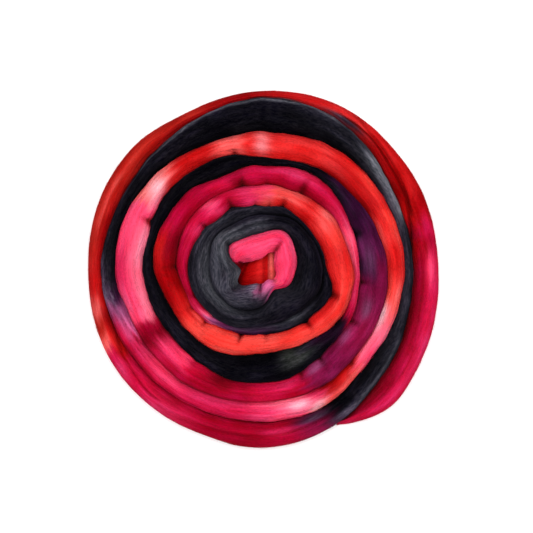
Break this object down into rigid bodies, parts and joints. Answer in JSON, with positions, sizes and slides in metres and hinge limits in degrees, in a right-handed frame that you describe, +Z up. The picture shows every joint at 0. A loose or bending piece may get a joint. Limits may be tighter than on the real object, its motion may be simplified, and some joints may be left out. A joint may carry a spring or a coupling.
{
  "type": "wool roving coil",
  "caption": "Flat coil of thick hand-dyed combed wool roving, wound edge to edge from a small pit at the middle, in reds, pinks, plum, grey and black.",
  "frame": {"origin": "middle of the coil's bounding box, on the plane that the coil lies on", "axes": "+Z up out of the coil's face, its shortest extent; +Y towards 12 o'clock and +X towards 3 o'clock of the coil, whose tail ends at about 5 o'clock"},
  "size_m": [0.2802, 0.2858, 0.0398],
  "materials": {
    "dyed_wool": "matt combed wool with a soft sheen, hand-dyed in changing lengths of crimson, scarlet, coral, pink, plum, lavender, grey and black"
  },
  "bodies": {
    "root": {"roving": "dyed_wool"}
  },
  "joints": []
}
